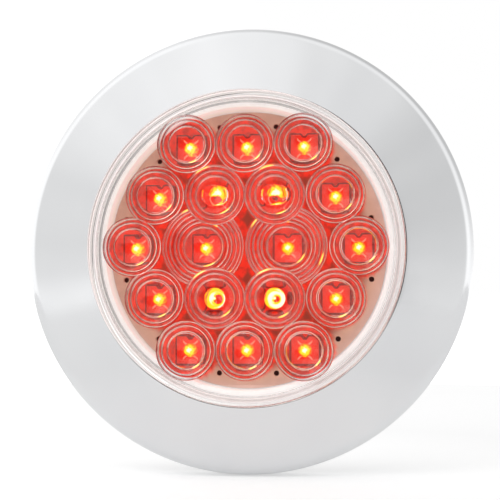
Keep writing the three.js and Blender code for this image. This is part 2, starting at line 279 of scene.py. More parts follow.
def bevel(obj, width, segments=2, angle_deg=40):
    modifier = obj.modifiers.new("soft edges", "BEVEL")
    modifier.width = width * MM
    modifier.segments = segments
    modifier.limit_method = "ANGLE"
    modifier.angle_limit = math.radians(angle_deg)
    modifier.harden_normals = True
    return apply_modifiers(obj)


def web(name, corners, deg, wall, width):
    """A radial plate with the given (r, y) corners, standing at an angle round the Y line."""
    bm = bmesh.new()
    across = Vector((*on_circle(wall / 2, deg + 90), 0))
    outwards = Vector((*on_circle(1, deg), 0))
    sides = []
    for side in (-1, 1):
        flat = [outwards * r + across * side for r, _ in corners]
        sides.append([bm.verts.new((p.x * MM, y * MM, p.y * MM)) for p, (_, y) in zip(flat, corners)])
    bm.faces.new(sides[0])
    bm.faces.new(sides[1][::-1])
    skin(bm, sides, closed=False)
    return bevel(finish_mesh(name, bm), width)


def bevelled_prism(name, outline, front, back, width, segments=2):
    return bevel(prism(name, outline, front, back), width, segments)


def weigh_normals(obj):
    obj.modifiers.new("weighted normals", "WEIGHTED_NORMAL").keep_sharp = True
    return apply_modifiers(obj)


def finish_piece(obj, body, material, replaces=()):
    obj.data.materials.clear()
    obj.data.materials.append(material)
    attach(obj, body)
    if replaces:
        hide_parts(*replaces)
    return obj


def copy_to(obj, name, place):
    """Another object with the same mesh, moved to (x, y, z) in millimetres."""
    twin = new_object(name, obj.data)
    twin.location = Vector(place) * MM
    return twin


# ---------- material helpers


PAINTED_GLOW_DEPTH = 16  # painted glows are placed by depth, as shares of this from the panel forwards, in millimetres
PAINTED_LIP_GLOW = (0.75, 0.7, 0.68)  # painted glow of the lamp's light on black pieces beside the lens


class NodeTree:
    """Short ways to add and join nodes."""

    def __init__(self, tree):
        self.tree = tree

    def node(self, kind, **values):
        made = self.tree.nodes.new(kind)
        for key, value in values.items():
            if hasattr(made, key):
                setattr(made, key, value)
            else:
                made.inputs[key].default_value = value
        return made

    def link(self, source, target):
        self.tree.links.new(source, target)

    def math(self, operation, first, second=None):
        made = self.node("ShaderNodeMath", operation=operation)
        for socket, value in zip(made.inputs, (first, second)):
            if isinstance(value, bpy.types.NodeSocket):
                self.link(value, socket)
            elif value is not None:
                socket.default_value = value
        return made.outputs[0]

    def hypot(self, a, b):
        squares = self.math("MULTIPLY", a, a), self.math("MULTIPLY", b, b)
        return self.math("SQRT", self.math("ADD", *squares))

    def axes(self, source):
        """The X, Y and Z of a vector."""
        split = self.node("ShaderNodeSeparateXYZ")
        self.link(source, split.inputs["Vector"])
        return split.outputs

    def ramp(self, source, stops, interpolation="LINEAR"):
        """A colour ramp through (position, grey or colour) stops."""
        ramp = self.node("ShaderNodeValToRGB")
        ramp.color_ramp.interpolation = interpolation
        elements = ramp.color_ramp.elements
        while len(elements) < len(stops):
            elements.new(0.5)
        for element, (at, colour) in zip(elements, stops):
            element.position = at
            element.color = (*colour, 1.0) if isinstance(colour, tuple) else (colour,) * 3 + (1.0,)
        self.link(source, ramp.inputs["Fac"])
        return ramp.outputs["Color"]

    def mix(self, factor, first, second):
        mix = self.node("ShaderNodeMix", data_type="RGBA")
        for socket, value in ((mix.inputs[0], factor), (mix.inputs[6], first), (mix.inputs[7], second)):
            if isinstance(value, bpy.types.NodeSocket):
                self.link(value, socket)
            else:
                socket.default_value = (*value, 1.0) if isinstance(value, tuple) else value
        return mix.outputs[2]


class Surface(NodeTree):
    """A Principled material whose constants sit on the shader's own sockets."""

    def __init__(self, name, colour, roughness, metallic=0.0):
        self.material = bpy.data.materials.new(name)
        self.material.use_nodes = True
        super().__init__(self.material.node_tree)
        self.shader = self.tree.nodes["Principled BSDF"]
        self.set("Base Color", (*colour, 1.0))
        self.set("Roughness", roughness)
        self.set("Metallic", metallic)
        self.place = self.node("ShaderNodeTexCoord").outputs["Object"]

    def set(self, socket, value):
        self.shader.inputs[socket].default_value = value

    def feed(self, socket, source):
        self.link(source, self.shader.inputs[socket])
        return self

    def glow(self, source):
        """Makes the surface shine in the colour of source."""
        self.set("Emission Strength", 1.0)
        return self.feed("Emission Color", source)

    def noise(self, scale, detail=3.0, stretch=None):
        noise = self.node("ShaderNodeTexNoise", Scale=scale, Detail=detail)
        source = self.place
        if stretch:
            mapping = self.node("ShaderNodeMapping")
            mapping.inputs["Scale"].default_value = stretch
            self.link(source, mapping.inputs["Vector"])
            source = mapping.outputs["Vector"]
        self.link(source, noise.inputs["Vector"])
        return noise.outputs["Fac"]

    def colour_from(self, source, stops):
        return self.feed("Base Color", self.ramp(source, stops))

    def rough_from(self, source, low, high):
        spread = self.node("ShaderNodeMapRange")
        spread.inputs["To Min"].default_value = low
        spread.inputs["To Max"].default_value = high
        self.link(source, spread.inputs["Value"])
        return self.feed("Roughness", spread.outputs["Result"])

    def bump_from(self, source, strength, distance_mm):
        bump = self.node("ShaderNodeBump", Strength=strength, Distance=distance_mm * MM)
        self.link(source, bump.inputs["Height"])
        normal = self.shader.inputs["Normal"]
        if normal.is_linked:
            self.link(normal.links[0].from_socket, bump.inputs["Normal"])
        self.link(bump.outputs["Normal"], normal)
        return self

    def off_axis_mm(self):
        """Distance from the object's own Y line, in millimetres."""
        x, _, z = self.axes(self.place)
        return self.math("MULTIPLY", self.hypot(x, z), 1 / MM)

    def inside(self, r, fade=0.4):
        """1 within r millimetres of the object's own Y line, falling to 0 at r + fade."""
        share = self.math("DIVIDE", self.off_axis_mm(), 100)
        return self.ramp(share, [(r / 100, 1.0), ((r + fade) / 100, 0.0)])

    def in_front(self):
        """Distance in front of the panel, as a share of PAINTED_GLOW_DEPTH."""
        _, y, _ = self.axes(self.place)
        return self.math("DIVIDE", y, -PAINTED_GLOW_DEPTH * MM)

    def ragged_radius(self, noise, spread_mm, reach_mm):
        """Distance from the object's own Y line as a share of a reach, made uneven by noise."""
        ragged = self.math("MULTIPLY", self.math("SUBTRACT", noise, 0.5), spread_mm)
        return self.math("DIVIDE", self.math("ADD", self.off_axis_mm(), ragged), reach_mm)


def scratch(s, amount):
    """Fine hairline marks in two directions."""
    for stretch in ((1.0, 1.0, 0.03), (0.04, 1.0, 1.0)):
        lines = s.ramp(s.noise(2000, 2, stretch), [(0.47, 1.0), (0.5, 0.0), (0.53, 1.0)])
        s.bump_from(lines, amount, 0.01)


def chrome():
    s = Surface("chrome_plate", (0.69, 0.695, 0.705), 0.08, 1.0)
    s.colour_from(s.noise(35, 3), [(0.3, (0.675, 0.68, 0.692)), (0.7, (0.7, 0.705, 0.712))])
    s.rough_from(s.noise(60, 5), 0.05, 0.16)
    s.bump_from(s.noise(28, 2), 0.25, 0.25)
    scratch(s, 0.05)
    return s.material


def clear_plastic():
    """Clear moulding, with a faint painted red glow in its middle and painted glints and shade on its ridges.
    """
    s = Surface("clear_polycarbonate", (1.0, 0.965, 0.93), 0.0)
    off_axis = s.math("DIVIDE", s.off_axis_mm(), 50)
    clear = s.ramp(off_axis, [(0.84, (1.0, 0.9, 0.78)), (0.92, (1.0, 0.985, 0.97))])
    # Painted shade beside the ridges: a dark red-brown tint on their outer sides
    dark = s.node("ShaderNodeAttribute", attribute_name="shaded_side").outputs["Fac"]
    s.feed("Base Color", s.mix(dark, clear, (0.3, 0.05, 0.03)))
    # Painted red glow of the diodes' light, faint, in the middle of the lens
    painted_red_glow = s.ramp(off_axis, [(0.45, (0.04, 0.0, 0.0)), (0.9, 0.0)])
    # Painted glints of the diodes' yellow light on arcs of the ridges
    painted_glint_share = s.node("ShaderNodeAttribute", attribute_name="painted_glint").outputs["Fac"]
    s.glow(s.mix(painted_glint_share, painted_red_glow, (0.95, 0.55, 0.02)))
    s.set("Transmission Weight", 1.0)
    s.set("IOR", 1.58)
    s.bump_from(s.noise(45, 1), 0.05, 0.05)
    return s.material


def white_plastic():
    """White moulding with a painted glow of the diodes' light on its front edge and inner wall."""
    s = Surface("white_abs", (0.7, 0.69, 0.69), 0.35)
    s.colour_from(s.noise(60, 4), [(0.3, (0.67, 0.65, 0.65)), (0.7, (0.73, 0.72, 0.72))])
    depth = s.in_front()
    # Painted glow of the diodes' light, stronger further forward, on the front edge and within the lens's
    # inner radius
    painted_glow = [(0.3, 0.0), (0.42, (0.25, 0.3, 0.32)), (0.6, (0.42, 0.42, 0.43)), (0.72, (0.56, 0.53, 0.53))]
    s.glow(s.ramp(depth, painted_glow))
    painted_edge_glow = s.ramp(depth, [(0.64, 0.0), (0.7, 1.0)])
    s.feed("Emission Strength", s.math("MAXIMUM", s.inside(LENS_INNER_R), painted_edge_glow))
    s.rough_from(s.noise(300), 0.28, 0.45)
    s.bump_from(s.noise(1800, 2), 0.1, 0.03)
    return s.material


def black_plastic():
    """Black moulding, with a painted grey glow of the lamp's light where it faces the lens's lip."""
    s = Surface("black_nylon", (0.022, 0.022, 0.024), 0.5)
    # Painted grey glow on the front, within the lip's radius
    front = s.ramp(s.in_front(), [(0.53, 0.0), (0.56, 1.0)])
    s.glow(s.ramp(s.math("MULTIPLY", front, s.inside(56.6)), [(0.0, 0.0), (1.0, PAINTED_LIP_GLOW)]))
    s.colour_from(s.noise(120, 5), [(0.3, 0.014), (0.75, 0.034)])
    s.rough_from(s.noise(500), 0.4, 0.65)
    s.bump_from(s.noise(2500, 3), 0.25, 0.05)
    return s.material


def black_foam():
    s = Surface("black_foam", (0.03, 0.03, 0.031), 0.95)
    s.colour_from(s.noise(900, 6), [(0.35, 0.012), (0.7, 0.05)])
    s.rough_from(s.noise(700), 0.85, 1.0)
    s.bump_from(s.noise(1500, 6), 0.8, 0.2)
    return s.material


def black_rubber():
    """Black rubber, with a painted grey glow of the lamp's light on the side that touches the lens."""
    s = Surface("black_rubber", (0.02, 0.02, 0.02), 0.7)
    # Painted grey glow on the side that touches the lens
    s.glow(s.ramp(s.in_front(), [(0.7, 0.0), (0.72, PAINTED_LIP_GLOW)]))
    s.colour_from(s.noise(200, 4), [(0.3, 0.014), (0.7, 0.028)])
    s.rough_from(s.noise(400), 0.55, 0.8)
    s.bump_from(s.noise(1400, 3), 0.2, 0.05)
    return s.material


def silicone():
    s = Surface("pale_silicone", (0.88, 0.84, 0.83), 0.45)
    s.colour_from(s.noise(150, 3), [(0.3, (0.84, 0.79, 0.78)), (0.7, (0.92, 0.89, 0.88))])
    # Painted pale pink glow of the lamp's light on the seal
    s.set("Emission Color", (1.0, 0.86, 0.85, 1.0))
    s.set("Emission Strength", 0.3)
    s.rough_from(s.noise(300), 0.35, 0.55)
    s.bump_from(s.noise(400, 3), 0.4, 0.1)
    return s.material


def zinc():
    s = Surface("zinc_steel", (0.62, 0.63, 0.64), 0.3, 1.0)
    s.colour_from(s.noise(700, 4), [(0.3, (0.52, 0.53, 0.55)), (0.7, (0.72, 0.72, 0.7))])
    s.rough_from(s.noise(1200, 4), 0.2, 0.42)
    s.bump_from(s.noise(2500, 3), 0.1, 0.02)
    return s.material


def brass():
    s = Surface("tinned_brass", (0.74, 0.7, 0.6), 0.28, 1.0)
    s.colour_from(s.noise(500, 4), [(0.35, (0.72, 0.6, 0.36)), (0.6, (0.76, 0.74, 0.7))])
    s.rough_from(s.noise(900, 4), 0.2, 0.4)
    s.bump_from(s.noise(2200, 3), 0.1, 0.02)
    return s.material


def board_mask():
    """White solder mask, beige towards the edge, with the diodes' light painted red on it and painted brown
    shade in the gaps.
    """
    s = Surface("white_board", (0.85, 0.6, 0.48), 0.45)
    light = s.node("ShaderNodeAttribute", attribute_name="painted_diode_light")
    split = s.node("ShaderNodeSeparateColor")
    s.link(light.outputs["Color"], split.inputs["Color"])
    near = split.outputs["Red"]
    crowd = split.outputs["Green"]
    mask = s.ramp(s.noise(250, 5), [(0.3, (0.64, 0.5, 0.45)), (0.7, (0.76, 0.6, 0.54))])
    # Painted brown shade in the gaps between the optics, towards the middle
    gaps = s.mix(crowd, mask, (0.22, 0.05, 0.03))
    # Painted red light of the diodes under the optics
    s.feed("Base Color", s.mix(near, gaps, (0.65, 0.02, 0.01)))
    # Painted red glow, deeper red towards the middle, stronger under the optics and in uneven streaks
    glow = s.mix(crowd, (0.09, 0.02, 0.015), (0.08, 0.0, 0.0))
    streaks = s.ramp(s.noise(620, 5), [(0.4, (0.15, 0.004, 0.001)), (0.6, (0.56, 0.014, 0.002))])
    s.glow(s.mix(near, glow, streaks))
    s.rough_from(s.noise(500), 0.4, 0.6)
    s.bump_from(s.noise(700, 4), 0.2, 0.05)
    return s.material


def glowing_epoxy():
    """The package's front: red, brightening to orange round the die."""
    s = Surface("led_window", (0.8, 0.02, 0.012), 0.22)
    near = s.ragged_radius(s.noise(1100, 4), 1.6, 4.0)
    stops = [(0.35, (0.7, 0.08, 0.01)), (0.5, (0.36, 0.015, 0.005)), (1.0, (0.14, 0.004, 0.002))]
    s.glow(s.ramp(near, stops))
    s.rough_from(s.noise(900), 0.15, 0.35)
    s.bump_from(s.noise(700, 4), 0.35, 0.12)
    return s.material


def dark_epoxy_sides():
    s = Surface("led_shell", (0.24, 0.008, 0.008), 0.25)
    s.colour_from(s.noise(600, 4), [(0.3, (0.16, 0.005, 0.006)), (0.7, (0.34, 0.012, 0.01))])
    s.rough_from(s.noise(900), 0.18, 0.35)
    s.bump_from(s.noise(1200, 3), 0.15, 0.03)
    return s.material


def lit_die():
    """The dome over the die: white in the middle, then yellow, orange at its foot."""
    s = Surface("led_dome", (0.8, 0.1, 0.03), 0.2)
    near = s.ragged_radius(s.noise(1600, 3), 1.5, 1.8)
    stops = [
        (0.0, (1.6, 1.6, 1.4)),
        (0.32, (1.4, 1.35, 1.0)),
        (0.44, (1.1, 0.95, 0.0)),
        (0.74, (1.05, 0.8, 0.0)),
        (0.81, (1.0, 0.3, 0.0)),
        (0.92, (0.7, 0.04, 0.005)),
    ]
    s.glow(s.ramp(near, stops))
    s.rough_from(s.noise(900), 0.1, 0.3)
    return s.material


def lead_frame():
    """Arms of the lead frame, seen pink through the epoxy, with a painted glow of the die's light."""
    s = Surface("led_lead_frame", (0.95, 0.35, 0.28), 0.35, 0.3)
    # Painted pink glow of the die's light
    s.set("Emission Color", (1.0, 0.24, 0.16, 1.0))
    s.set("Emission Strength", 0.45)
    s.rough_from(s.noise(900), 0.25, 0.5)
    return s.material


def potting_resin():
    s = Surface("dark_epoxy", (0.045, 0.045, 0.05), 0.3)
    s.colour_from(s.noise(90, 5), [(0.3, 0.03), (0.7, 0.06)])
    s.rough_from(s.noise(200), 0.2, 0.45)
    s.bump_from(s.noise(120, 4), 0.3, 0.2)
    return s.material


def banded(name, body, bands, half_length, roughness):
    """A body laid along X with bands round it, given as (start, end, colour) shares of its length."""
    s = Surface(name, body, roughness)
    x, _, _ = s.axes(s.place)
    share = s.math("ADD", s.math("DIVIDE", x, 2 * half_length * MM), 0.5)
    stops = [(0.0, body)]
    for start, end, colour in bands:
        stops += [(start, colour), (end, body)]
    paint = s.ramp(share, stops, "CONSTANT")
    grime = s.math("MULTIPLY", s.noise(900, 4), 0.25)
    s.feed("Base Color", s.mix(grime, paint, (0.05, 0.05, 0.05)))
    s.rough_from(s.noise(700), roughness * 0.8, roughness * 1.25)
    s.bump_from(s.noise(1500, 3), 0.15, 0.03)
    return s.material


CHROME = chrome()
CLEAR = clear_plastic()
WHITE = white_plastic()
BLACK = black_plastic()
FOAM = black_foam()
RUBBER = black_rubber()
SILICONE = silicone()
ZINC = zinc()
BRASS = brass()
BOARD = board_mask()
WINDOW = glowing_epoxy()
SHELL = dark_epoxy_sides()
DIE = lit_die()
LEAD = lead_frame()
POTTING = potting_resin()

# ---------- bezel

FACE_SLOPE = math.tan(math.radians(FACE_SLOPE_DEG))
BEZEL_R = BEZEL_HIGH.x
SKIRT_INNER_R = BEZEL_R - 1.6


def face_y(r):
    """Where the sloping face is at a radius."""
    return BEZEL_LOW.y + (r - OPENING_R - 0.6) * FACE_SLOPE


def make_bezel():
    wall = 2.04
    collar_inner, collar_outer, collar_back = 62.4, 63.9, -7.7
    face = [(r, face_y(r), 0) for r in (OPENING_R + 2 + 1.9 * k for k in range(8))]
    outline = rounded(
        [
            (OPENING_R, SEAT_Y, 0.15),
            (OPENING_R, face_y(OPENING_R), 0.6),
            *face,
            (BEZEL_R, face_y(BEZEL_R), 4.5),
            (BEZEL_R, BEZEL_HIGH.y, 0.4),
            (SKIRT_INNER_R, BEZEL_HIGH.y, 0.4),
            (SKIRT_INNER_R, face_y(SKIRT_INNER_R) + wall, 1.2),
            (collar_outer, face_y(collar_outer) + wall, 0.5),
            (collar_outer, collar_back, 0.3),
            (collar_inner, collar_back, 0.3),
            (collar_inner, face_y(collar_inner) + wall, 0.5),
            (LIP_R, SEAT_Y, 0.3),
        ],
        8,
    )
    shell = weigh_normals(turned("bezel_shell", outline, 256))
    finish_piece(shell, "bezel", CHROME, ["bezel"])
    for i, deg in enumerate(QUADRANTS):
        arc = sector(59.5, collar_inner + 0.2, deg - 9, deg + 9)
        lug = bevelled_prism(f"bezel_lug_{i + 1}", arc, -10.2, collar_back, 0.3)
        finish_piece(lug, "bezel", CHROME)
    sink = wall - 0.3
    inner, outer, foot = 63.7, SKIRT_INNER_R + 0.2, -9
    top = [(r, face_y(r) + sink) for r in (inner, 70.9)]
    corners = [*top, (outer, -10.8), (outer, foot), (inner, foot)]
    for i, deg in enumerate(RIB_ANGLES):
        rib = web(f"bezel_rib_{i + 1:02d}", corners, deg, 1.4, 0.2)
        finish_piece(rib, "bezel", CHROME)


# ---------- lens

OPTIC_R = {"small": 9.5, "ring": 9.8, "wide": 13.2}
RING_MIDDLE_R = 5.8  # the middle of the four optics that spread a diode's light into a ring
RING_MIDDLE_FOOT = 1.25
CONE_R = 3.4
CONE_TOP = 3.5
CONE_SLOPE = math.tan(math.radians(30))
CONE_SQUASH = 0.6  # how steep the upper two are along X, compared with upright
# Radii of the round ridges on each kind of optic
RIDGES = {
    "small": (5.95, 7.75, 9.1),
    "ring": (6.2, 7.9, 9.4),
    "wide": (6.25, 7.9, 9.1, 10.6, 11.9, 12.8),
}
RIDGE_RISE, RIDGE_HALF_WIDTH = 0.26, 0.34
# Arcs of ridges with a painted glint of a diode's light: radius, middle clockwise from the top and half
# length
GLINTS = {
    "small": [(5.95, 145, 16)],
    "ring": [(6.2, 150, 20), (9.4, -25, 18)],
    "wide": [(6.25, 145, 22), (7.9, 14, 8), (11.9, 125, 12), (12.8, -39, 10)],
}
INNER_X = 15  # the four inner optics and the two wide ones stand closer to the middle than this
INNER_Z = 20


def dome(radius, height, curve_r, steps=10):
    """A convex middle, as (r, height) points from the axis out to radius."""
    radii = [radius * k / steps for k in range(steps + 1)]
    return [(r, height - curve_r + math.sqrt(curve_r**2 - r**2)) for r in radii]


def cone_height(r):
    """Height of the spreading middle: a cone, then an ever steeper fall to its edge."""
    if r <= CONE_R:
        return CONE_TOP - CONE_SLOPE * max(r, 0.3)
    share = (r - CONE_R) / (RING_MIDDLE_R - CONE_R)
    shoulder = CONE_TOP - CONE_SLOPE * CONE_R
    return shoulder + (RING_MIDDLE_FOOT - shoulder) * share**3


def flatten_sideways(optic, place):
    """Makes the cone less steep along X, so that the ring of light opens above and below."""
    for vertex in optic.data.vertices:
        x = vertex.co.x / MM - place[0]
        z = vertex.co.z / MM - place[1]
        r = math.hypot(x, z)
        if r <= RING_MIDDLE_R and vertex.co.y / MM > LENS_BACK_Y:
            keep = smooth((RING_MIDDLE_R - r) / (RING_MIDDLE_R - CONE_R))
            squashed = math.hypot(x * (1 - (1 - CONE_SQUASH) * keep), z)
            vertex.co.y = (LENS_BACK_Y + cone_height(squashed)) * MM


def ridged(kind, start, heights):
    """A sloping ring from start to the optic's edge, with its round ridges standing on it."""
    stop = OPTIC_R[kind]

    def base(r):
        return heights[0] + (heights[1] - heights[0]) * (r - start) / (stop - start)

    points = []
    for centre in RIDGES[kind]:
        for share in (k / 5 for k in range(-5, 6)):
            r = centre + RIDGE_HALF_WIDTH * share
            points.append((r, base(r) + RIDGE_RISE * (1 + math.cos(math.pi * share)) / 2))
    return points + [(stop, base(stop))]


def optic_profile(kind):
    """The (r, height) outline of one optic, from its axis outwards."""
    if kind == "wide":
        return dome(5.85, 2.5, 20) + ridged(kind, 5.9, (1.55, 0.5))
    if kind == "ring":
        middle = [(r, cone_height(r)) for r in (RING_MIDDLE_R * k / 24 for k in range(25))]
        return middle + ridged(kind, RING_MIDDLE_R + 0.05, (1.3, 0.6))
    return dome(5.5, 2.4, 20) + ridged(kind, 5.55, (1.55, 0.6))


def optic_kind(place):
    """Which of the three kinds of optic stands at a place, as the photograph shows them."""
    x, z = abs(place[0]), abs(place[1])
    if x < INNER_X and z < 1:
        return "wide"
    if x < INNER_X and 10 < z < INNER_Z:
        return "ring"
    return "small"


def make_optic(place):
    sink = 0.8  # how far the optic reaches into the front wall before they are joined
    heights = optic_profile(optic_kind(place))
    profile = [(r, LENS_BACK_Y + h) for r, h in heights]
    outer = profile[-1][0] + 0.05
    root = [(0, LENS_BACK_Y - sink), (outer, LENS_BACK_Y - sink), (outer, LENS_BACK_Y + 0.3)]
    optic = turned("optic", root + profile[::-1], 96, place)
    if optic_kind(place) == "ring" and place[1] > 0:
        flatten_sideways(optic, place)
    return optic


def painted_ridge_light(place, x, z):
    """How much painted glint an optic's ridges carry at a point, and how much painted shade their outer sides
    carry.
    """
    r = math.hypot(x - place[0], z - place[1])
    turn = math.degrees(math.atan2(x - place[0], z - place[1]))
    swing = (7 * place[0] + 3 * place[1]) % 31 - 15  # no two optics alike
    kind = optic_kind(place)
    painted_glint_share = 0.0
    for ridge_r, middle, half_length in GLINTS[kind]:
        off = abs((turn - middle - swing + 180) % 360 - 180)
        across = smooth(1.5 * (1 - abs(r - ridge_r) / 0.36))
        painted_glint_share = max(painted_glint_share, across * smooth(1.5 * (1 - off / half_length)))
    beside = max(1 - abs(r - ridge_r - 0.8 * RIDGE_HALF_WIDTH) / 0.3 for ridge_r in RIDGES[kind])
    uneven = 0.6 + 0.4 * math.sin(math.radians(2 * turn + 5 * swing + 60 * r))
    return painted_glint_share, smooth(1.5 * beside) * uneven


def mark_ridges(lens):
    """Stores the painted glints and painted shade of the ridges on the lens's points, for its material."""
    painted_glint_share = lens.data.attributes.new("painted_glint", "FLOAT", "POINT")
    shaded = lens.data.attributes.new("shaded_side", "FLOAT", "POINT")
    for vertex, light, dark in zip(lens.data.vertices, painted_glint_share.data, shaded.data):
        x, y, z = (c / MM for c in vertex.co)
        if y < LENS_BACK_Y + 0.2 or math.hypot(x, z) > LENS_INNER_R:
            continue
        holders = [p for p in LED_PLACES if math.hypot(x - p[0], z - p[1]) <= OPTIC_R[optic_kind(p)]]
        if holders:
            holder = min(holders, key=lambda p: optic_kind(p) == "wide")
            light.value, dark.value = painted_ridge_light(holder, x, z)


def make_lens():
    lip_front = -15.0
    outline = rounded(
        [
            (0, LENS_LOW.y, 0),
            (BODY_R, LENS_LOW.y, 0.45),
            (BODY_R, lip_front, 0.3),
            (LIP_R, lip_front, 0.4),
            (LIP_R, LENS_HIGH.y, 0.4),
            (LENS_INNER_R, LENS_HIGH.y, 0.3),
            (LENS_INNER_R, LENS_BACK_Y, 0.25),
            (0, LENS_BACK_Y, 0),
        ],
        8,
    )
    lens = turned("lens_moulding", outline)
    small_places = [place for place in LED_PLACES if optic_kind(place) != "wide"]
    optics = []
    for place in LED_PLACES:
        optic = make_optic(place)
        if optic_kind(place) == "wide":
            cutters = [rod("clear", OPTIC_R[optic_kind(p)] + 0.02, -25, -10, p, 96) for p in small_places]
            combine(optic, cutters, "DIFFERENCE")
        optics.append(optic)
    combine(lens, optics, "UNION", 25)
    notch = bevelled_prism("notch", sector(54.5, 57, 90 - 4.5, 90 + 4.5), -16, -11, 0.2)
    combine(lens, [notch], "DIFFERENCE", 25)
    mark_ridges(lens)
    finish_piece(lens, "mount", CLEAR, ["lens"])
    lens.visible_shadow = False


# ---------- housing and what is sealed in it


def make_housing():
    back, wall = 12.6, 2.6
    outline = rounded(
        [
            (46.1, -15.4, 0.3),
            (47.6, -15.4, 0.3),
            (47.6, RIM_Y, 0.2),
            (48.5, RIM_Y, 0.1),
            (48.5, -10.4, 0.2),
            (49.9, -10.4, 0.2),
            (49.9, RIM_Y, 0.1),
            (50.6, RIM_Y, 0.2),
            (49.6, back, 1.2),
            (0, back, 0),
            (0, back - wall, 0),
            (47.0, back - wall, 1.0),
            (47.6, -2.0, 0.5),
            (44.0, -4.6, 0.2),
            (44.0, -6.7, 0.2),
            (46.1, -6.7, 0.1),
        ],
        5,
    )
    housing = turned("lamp_housing", outline)
    root = back - 0.5
    added = [bevelled_prism("boss", stadium(36, 19), root, HOUSING_HIGH.y, 0.5, 3)]
    for deg in range(30, 360, 60):
        added.append(bevelled_prism("rib", radial_bar(20, 43, deg, 1.6), root, back + 1.2, 0.3))
    rim = [(42.5, root, 0), (44, root, 0), (44, back + 1.2, 0.3), (42.5, back + 1.2, 0.3)]
    added.append(turned("rim", rounded(rim, 3)))
    for deg in (60, 120, 240, 300):
        added.append(rod("pad", 2.2, root, back + 0.5, on_circle(31, deg), 32, 0.2))
    added.append(rod("gate", 1.1, root, back + 0.7, (0, 14), 24, 0.2))
    combine(housing, added, "UNION")
    cuts = [rod("hole", PIN_HOLE_R, back - wall - 1, 14, place) for place in PIN_PLACES]
    cuts.append(bevelled_prism("pocket", stadium(30, 13), 12.8, HOUSING_HIGH.y + 2, 0.4, 3))
    cuts.append(bevelled_prism("keyway", rectangle(2, 1.5, z=6.5), 16.5, HOUSING_HIGH.y + 2, 0.2))
    combine(housing, cuts, "DIFFERENCE")
    finish_piece(housing, "mount", WHITE, ["housing"])


def bead(name, inner, outer, front, back, edge, steps=4):
    """A flat ring with rounded edges."""
    corners = [(inner, front, edge), (outer, front, edge), (outer, back, edge), (inner, back, edge)]
    return turned(name, rounded(corners, steps))


def make_seal():
    seal = bead("seal_bead", 48.7, 49.7, SEAL_LOW.y, SEAL_HIGH.y, 0.35)
    finish_piece(seal, "mount", SILICONE, ["lens_seal"])


def make_cushion():
    inner, outer = 51.8, 54.4
    front, back = CUSHION_LOW.y, CUSHION_HIGH.y
    corners = [
        (inner, front, 0.3),
        (inner + 0.9, front, 0.1),
        (inner + 1.3, front + 0.25, 0.1),
        (inner + 1.7, front, 0.1),
        (outer, front, 0.3),
        (outer, back, 0.3),
        (inner, back, 0.3),
    ]
    cushion = turned("cushion", rounded(corners, 3))
    finish_piece(cushion, "mount", RUBBER, ["cushion_ring"])


def painted_diode_light(x, z):
    """How far under an optic a point of the board is, and how far from the board's edge, each 0 to 1, for its
    painted light and shade.
    """
    inside = -100.0
    for u, v in LED_PLACES:
        kind = optic_kind((u, v))
        reach = OPTIC_R[kind] + (1.6 if kind == "wide" else 0)
        inside = max(inside, reach - math.hypot(x - u, z - v))
    return smooth((inside + 0.9) / 1.4), smooth((42 - math.hypot(x, z)) / 5)


def make_board():
    front, back = BOARD_LOW.y, BOARD_HIGH.y
    outline = [(0, front)] + [(0.6 * k, front) for k in range(1, 76)]  # close rings carry painted_diode_light
    outline += [(45.6, front), (45.7, front + 0.1), (45.7, back), (0, back)]
    board = turned("lamp_board", outline)
    holes = [rod("hole", 0.9, -12, -4, on_circle(HOLE_CIRCLE_R, deg), 24) for deg in HOLE_ANGLES]
    combine(board, holes, "DIFFERENCE")
    light = board.data.color_attributes.new("painted_diode_light", "FLOAT_COLOR", "POINT")
    for vertex, entry in zip(board.data.vertices, light.data):
        near, crowd = painted_diode_light(vertex.co.x / MM, vertex.co.z / MM)
        entry.color = (near, crowd, 0, 1)
    finish_piece(board, "mount", BOARD, ["circuit_board"])


def notched_square(half, notch_half, notch_depth):
    """A square with a tapered notch in the middle of its top side."""
    floor = half - notch_depth
    notch = [(notch_half, half), (notch_half * 0.4, floor), (-notch_half * 0.4, floor), (-notch_half, half)]
    return [(-half, -half), (half, -half), (half, half), *notch, (-half, half)]


def package_arms():
    """The lead frame's four arms in front, and its four legs down to the board."""
    bm = bmesh.new()
    leg_spacing = 2.54
    for side in (-1, 1):
        for turn in (-1, 1):
            shares = [k / 5 for k in range(6)]
            bow = [Vector((turn * (0.35 + 1.5 * t), side * (1.35 + 0.95 * t**2))) for t in shares]
            half = Vector((0, side * 0.27))
            outline = [p + half for p in bow] + [p - half for p in bow[::-1]]
            prism_into(bm, outline, PACKAGE_FRONT_Y - 0.07, PACKAGE_FRONT_Y + 0.1)
            leg = rectangle(0.3, 0.2, turn * leg_spacing, side * leg_spacing)
            prism_into(bm, leg, LED_HIGH.y - 0.2, BOARD_LOW.y)
    return bevel(finish_mesh("arms", bm), 0.05, 1)


